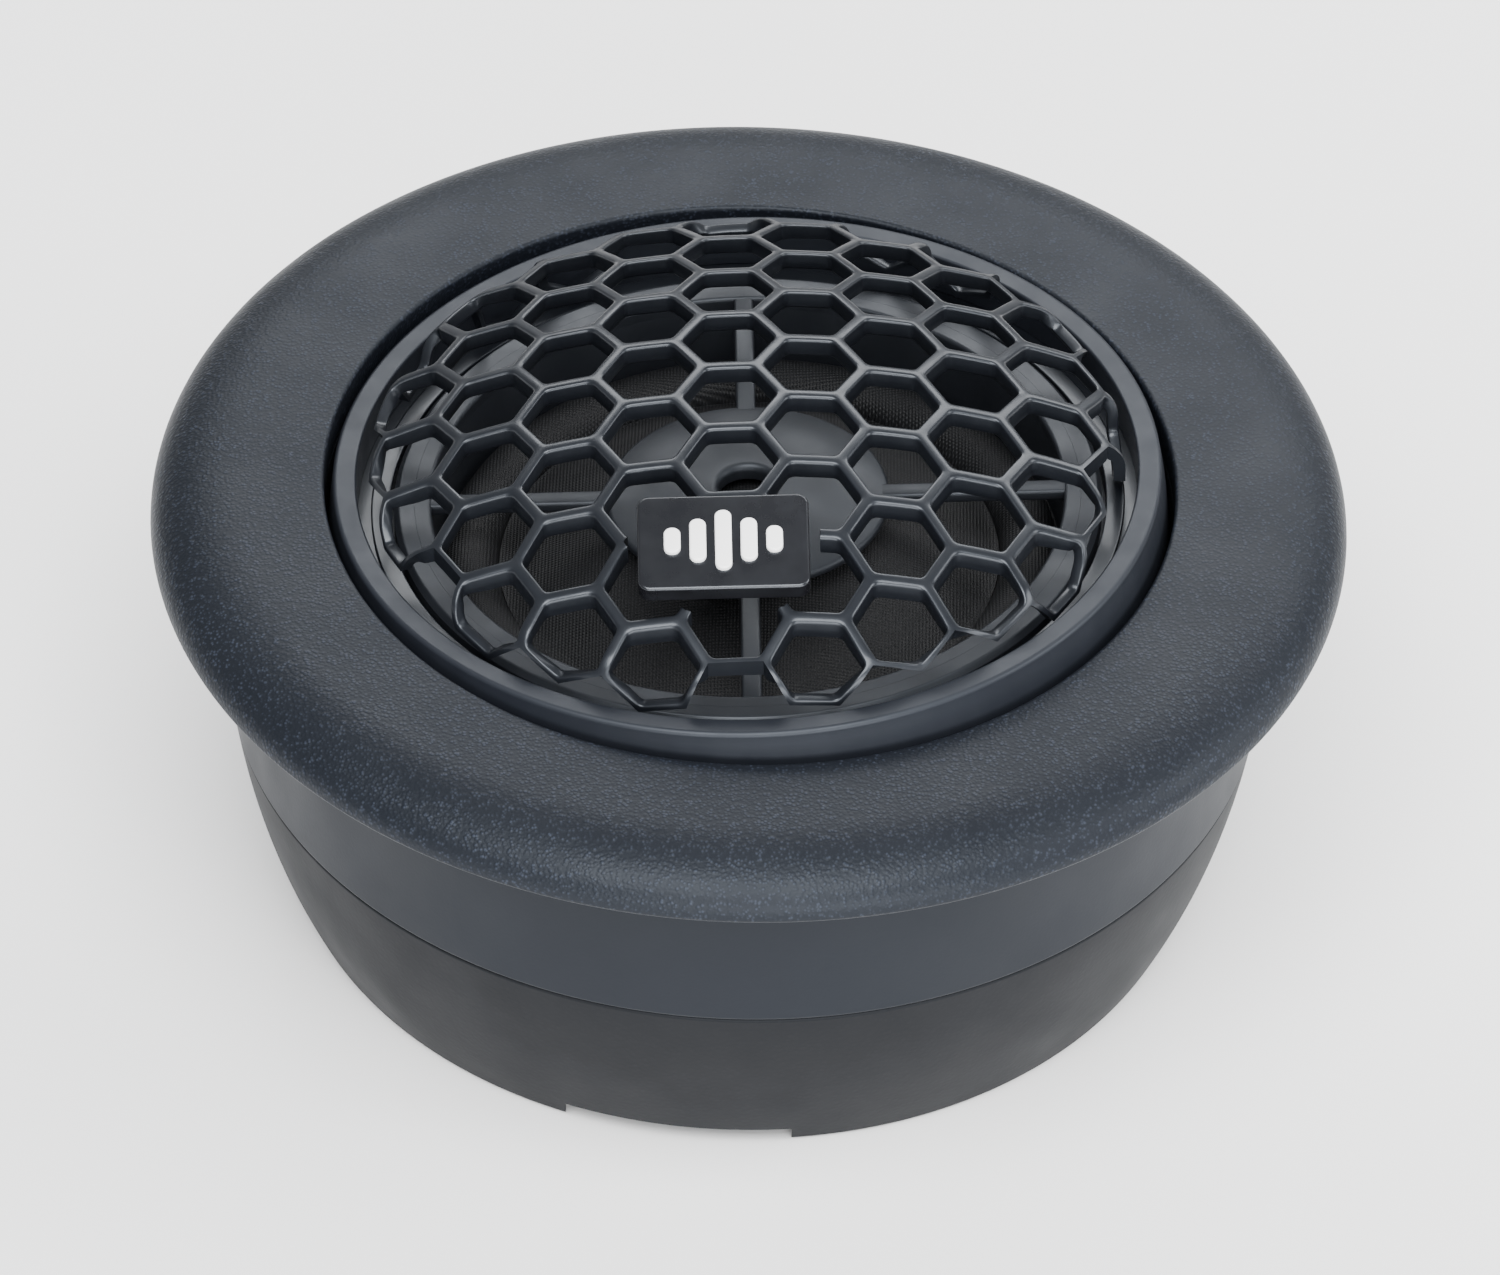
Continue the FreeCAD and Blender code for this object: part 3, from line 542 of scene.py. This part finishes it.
def grille():
    """Honeycomb of rounded walls; each cell adds its half of the walls round it."""
    mesh_data = bmesh.new()
    cells = []
    for column in range(-6, 7):
        for row in range(-6, 7):
            centre = Vector((HEX_X + column * PITCH_X, HEX_Y + (row + 0.5 * (column % 2)) * PITCH_Y))
            if centre.length < 19.7:
                cells.append(centre)
    per_side = len(SIDE_STEPS)
    total = 6 * per_side
    for centre in cells:
        loops = []
        line = [cell_point(centre, side, step, 0.0, 0.0) for side in range(6) for step in SIDE_STEPS]
        for inset, depth in WALL_SECTION:
            fillet = 0.0 if inset == 0 else 0.35 + inset * 0.4
            loop = []
            for side in range(6):
                for step in SIDE_STEPS:
                    point = cell_point(centre, side, step, inset, fillet)
                    loop.append(mesh_data.verts.new(on_grille(*in_pattern(*point), depth)))
            loops.append(loop)
        for side in range(6):
            angle = math.radians(30 + 60 * side)
            middle = centre + Vector((math.cos(angle), math.sin(angle))) * HEX_SIDE * math.sqrt(3) / 2
            neighbour = centre + 2 * (middle - centre)
            alone = not any((other - neighbour).length < 0.1 for other in cells)
            for k in range(per_side):
                a = side * per_side + k
                b = (a + 1) % total
                if in_window((line[a] + line[b]) / 2):
                    continue
                for upper, lower in zip(loops, loops[1:]):
                    mesh_data.faces.new((upper[a], upper[b], lower[b], lower[a]))
                if alone:
                    mesh_data.faces.new((loops[0][a], loops[-1][a], loops[-1][b], loops[0][b]))
    bmesh.ops.remove_doubles(mesh_data, verts=mesh_data.verts, dist=0.002)
    loose = [vert for vert in mesh_data.verts if not vert.link_faces]
    bmesh.ops.delete(mesh_data, geom=loose, context="VERTS")
    rims = [edge for edge in mesh_data.edges if len(edge.link_faces) == 1]
    bmesh.ops.holes_fill(mesh_data, edges=rims, sides=0)
    honeycomb = set(mesh_data.faces)
    lathe_into(mesh_data, rounded([(17.95, 1.2), (20.0, 1.2), (20.0, 1.9), (18.9, 1.9), (18.9, 2.1, 0.1),
                                   (17.95, 2.1, 0.1)]))
    # the band's faces take the second material, the painted shade copy of the pod plastic
    for face in mesh_data.faces:
        face.material_index = 0 if face in honeycomb else 1
    return finished("honeycomb_grille", mesh_data, POD, 50.0)


def badge_matrix():
    """Seat of the badge: sunk a little into the dome and leaning with it."""
    slope = math.asin(abs(BADGE_Y) / CAP_R)
    seat = Vector((BADGE_X, BADGE_Y, cap_height(math.hypot(BADGE_X, BADGE_Y)) - BADGE_SINK)) * MM
    return POD @ Matrix.Translation(seat) @ Matrix.Rotation(HEX_TURN, 4, "Z") @ Matrix.Rotation(slope, 4, "X")


def plate_into(mesh_data, width, depth, low, high, corner, edge, centre=(0, 0)):
    """Rounded rectangle with softened upper edge: stacked outlines joined by strips."""
    def outline(inset, z):
        points = []
        for sx, sy, start in ((1, 1, 0), (-1, 1, 90), (-1, -1, 180), (1, -1, 270)):
            cx, cy = sx * (width / 2 - corner), sy * (depth / 2 - corner)
            for n in range(9):
                angle = math.radians(start + 90 * n / 8)
                radius = corner - inset
                points.append(mesh_data.verts.new((centre[0] + cx + radius * math.cos(angle),
                                                   centre[1] + cy + radius * math.sin(angle), z)))
        return points

    levels = [outline(0.0, low)]
    for n in range(6):
        angle = math.pi / 2 * n / 5
        levels.append(outline(edge * (1 - math.cos(angle)), high - edge + edge * math.sin(angle)))
    for lower, upper in zip(levels, levels[1:]):
        for n in range(len(lower)):
            m = (n + 1) % len(lower)
            mesh_data.faces.new((lower[n], lower[m], upper[m], upper[n]))
    mesh_data.faces.new(levels[-1])
    mesh_data.faces.new(levels[0][::-1])


def badge():
    """Plain badge plate."""
    mesh_data = bmesh.new()
    plate_into(mesh_data, BADGE_W, BADGE_D, 0.0, BADGE_T, 0.6, 0.16)
    return finished("badge", mesh_data, badge_matrix())


BAR_W, BAR_PITCH, BAR_HEIGHTS = 0.82, 1.25, (1.5, 2.5, 3.5, 2.5, 1.5)


def emblem():
    """Five raised bars of a level meter."""
    mesh_data = bmesh.new()
    for n, height in enumerate(BAR_HEIGHTS):
        plate_into(mesh_data, BAR_W, height, BADGE_T - 0.1, BADGE_T + 0.24, 0.38, 0.1,
                   ((n - 2) * BAR_PITCH, 0.0))
    return finished("badge_bars", mesh_data, badge_matrix())


def phase_plate():
    """Centre disc, its outer ring and the four spokes between them."""
    mesh_data = bmesh.new()
    lathe_into(mesh_data, rounded([
        (1.45, 2.1, 0.1), (6.6, 1.8), (7.1, 2.0, 0.1), (7.1, 2.35, 0.25), (6.4, 2.55), (5.0, 2.74),
        (3.4, 2.9), (2.2, 2.98), (1.45, 3.0, 0.35)]), 128)
    lathe_into(mesh_data, rounded([(15.85, 1.8), (16.7, 1.8), (16.7, 2.5), (15.85, 2.5, 0.2)]))
    for n in range(4):
        turn = Matrix.Rotation(math.radians(90) * n + HEX_TURN, 4, "Z")
        before = set(mesh_data.verts)
        slab_into(mesh_data, (9.4, 1.0, 0.62), (11.3, 0, 2.14), 0.16, 3)
        bmesh.ops.transform(mesh_data, matrix=turn, verts=[v for v in mesh_data.verts if v not in before])
    return finished("phase_plug", mesh_data, POD)


def face_plate():
    """Plate round the dome, which holds the outer ring of the centre disc."""
    return lathe("dome_face_plate", [
        (15.7, -1.8), (15.72, 0.2), (15.85, 1.8), (16.71, 1.8), (16.71, 2.5), (17.5, 2.5, 0.15), (17.75, 2.2),
        (17.75, 1.2), (19.35, 1.2, 0.1), (19.35, -2.3), (16.95, -2.3), (16.95, -1.8)], POD)


DOME_RIM_R, DOME_RIM_Z, DOME_H, DOME_T = 12.4, -1.75, 3.4, 0.25


def dome():
    """Soft dome: a cap of one thickness with a narrow rim."""
    radius = (DOME_RIM_R ** 2 + DOME_H ** 2) / (2 * DOME_H)
    centre = DOME_RIM_Z + DOME_H - radius
    steps = [DOME_RIM_R * n / 24 for n in range(25)]
    outside = [(r, centre + math.sqrt(radius ** 2 - r ** 2)) for r in steps]
    inside = [(r, centre + math.sqrt((radius - DOME_T) ** 2 - r ** 2)) for r in reversed(steps)]
    return lathe("silk_dome", outside + [(12.6, DOME_RIM_Z), (12.6, DOME_RIM_Z - DOME_T)] + inside, POD)


ROLL_OUT_R, ROLL_ACROSS = 15.6, 3.0      # outer edge of the surround's roll, and about its width


def surround():
    """Half-roll surround with its flat outer flange."""
    middle, outer, thick, low = 14.11, 1.49, 0.2, -2.0
    over = [(middle - outer * math.cos(a), low + outer * math.sin(a)) for a in
            [math.radians(172) * n / 20 for n in range(21)]]
    under = [(middle - (outer - thick) * math.cos(a), low + (outer - thick) * math.sin(a)) for a in
             [math.radians(180) * n / 20 for n in range(20, -1, -1)]]
    return lathe("silk_surround", over + [(16.9, low + thick), (16.9, low)] + under, POD)


def bend_with_coil(piece):
    """The surround's inner edge follows the coil and its outer edge the pod."""
    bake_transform(piece, "pod", "moving_coil", start=PIVOT, end=PIVOT + COIL_AXIS)
    weights = piece.data.attributes["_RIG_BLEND"].data
    for vert, weight in zip(piece.data.vertices, weights):
        arm = vert.co - PIVOT
        radius = (arm - arm.dot(COIL_AXIS) * COIL_AXIS).length / MM
        share = min(1.0, max(0.0, (ROLL_OUT_R - radius) / ROLL_ACROSS))
        weight.value = share * share * (3 - 2 * share)


# ---- assembly -----------------------------------------------------------------------------------
place(bezel(), "housing", "flange_plastic", FLANGE_PLASTIC, "bezel_housing")
place(cup(), "housing", "cup_plastic", CUP_PLASTIC, "base_cup")
place(ring(), "pod", "pod_plastic", RING_PLASTIC, "front_ring")
# the grille's second material is the painted shade copy, for its band
place(grille(), "pod", "pod_plastic", POD_PLASTIC, "grille").data.materials.append(PAINTED_SHADE_PLASTIC)
place(badge(), "pod", "badge_gloss", BADGE_GLOSS, "badge_plate")
place(emblem(), "pod", "emblem_white", EMBLEM_WHITE, "badge_emblem")
place(phase_plate(), "pod", "inner_plastic", INNER_PLASTIC, "phase_plate")
place(face_plate(), "pod", "inner_plastic", INNER_PLASTIC, "face_plate")
place(dome(), "moving_coil", "woven_silk", SILK, "dome")
edge_roll = surround()
edge_roll.data.materials.append(SILK)
bend_with_coil(edge_roll)
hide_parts("surround")
for node, material in CARRIED_OVER.items():
    carried = frame["nodes"][node]
    carried.data.materials.clear()
    carried.data.materials.append(material)


# ---- stage, light and camera --------------------------------------------------------------------
def floor():
    """Plain pale sheet under the part."""
    mesh = bpy.data.meshes.new("floor")
    half = 3.0
    corners = [(-half, -half, 0), (half, -half, 0), (half, half, 0), (-half, half, 0)]
    mesh.from_pydata(corners, [], [(0, 1, 2, 3)])
    sheet = bpy.data.objects.new("floor", mesh)
    bpy.context.scene.collection.objects.link(sheet)
    paint = Paint("floor_paint", (0.92, 0.92, 0.92), 0.7, specular=0.2)
    paint.shade(paint.noise(120.0, 2.0), 0.99, 1.0)
    mesh.materials.append(paint.material)


LIT_POINT = Vector((0, 0, 0.02))


def soft_light(name, place_m, size_m, watts):
    """Rectangular softbox turned to the middle of the part."""
    data = bpy.data.lights.new(name, "AREA")
    data.shape = "RECTANGLE"
    data.size, data.size_y = size_m
    data.energy = watts
    lamp = bpy.data.objects.new(name, data)
    lamp.location = place_m
    lamp.rotation_euler = (LIT_POINT - Vector(place_m)).to_track_quat("-Z", "Y").to_euler()
    bpy.context.scene.collection.objects.link(lamp)


def studio():
    """Even pale surroundings and four softboxes."""
    world = bpy.data.worlds.new("studio")
    bpy.context.scene.world = world
    world.use_nodes = True
    world.node_tree.nodes["Background"].inputs["Color"].default_value = (0.93, 0.96, 1.0, 1)
    world.node_tree.nodes["Background"].inputs["Strength"].default_value = 0.48
    soft_light("back_softbox", (0.03, 0.15, 0.14), (0.24, 0.06), 0.42)
    soft_light("top_softbox", (-0.02, -0.30, 0.58), (0.5, 0.4), 10.0)
    soft_light("front_softbox", (0.10, -0.60, 0.15), (0.7, 0.26), 6.5)
    soft_light("side_softbox", (0.50, -0.05, 0.26), (0.3, 0.3), 2.4)


def camera():
    """Long lens from the front, 40.6 degrees above the flange, rolled a little."""
    elevation, distance, roll, pitch = math.radians(40.63), 0.482, math.radians(1.54), math.radians(0.96)
    target = Vector((0, 0, FLANGE_TOP * MM))
    data = bpy.data.cameras.new("camera")
    data.sensor_width, data.lens = 36.0, 231.2
    data.clip_start, data.clip_end = 0.01, 20.0
    eye = bpy.data.objects.new("camera", data)
    bpy.context.scene.collection.objects.link(eye)
    offset = Vector((0, -math.cos(elevation), math.sin(elevation))) * distance
    look = (-offset).to_track_quat("-Z", "Y").to_matrix().to_4x4()
    eye.matrix_world = (Matrix.Translation(target + offset) @ look @ Matrix.Rotation(roll, 4, "Z")
                        @ Matrix.Rotation(-pitch, 4, "X"))
    bpy.context.scene.camera = eye


floor()
studio()
camera()
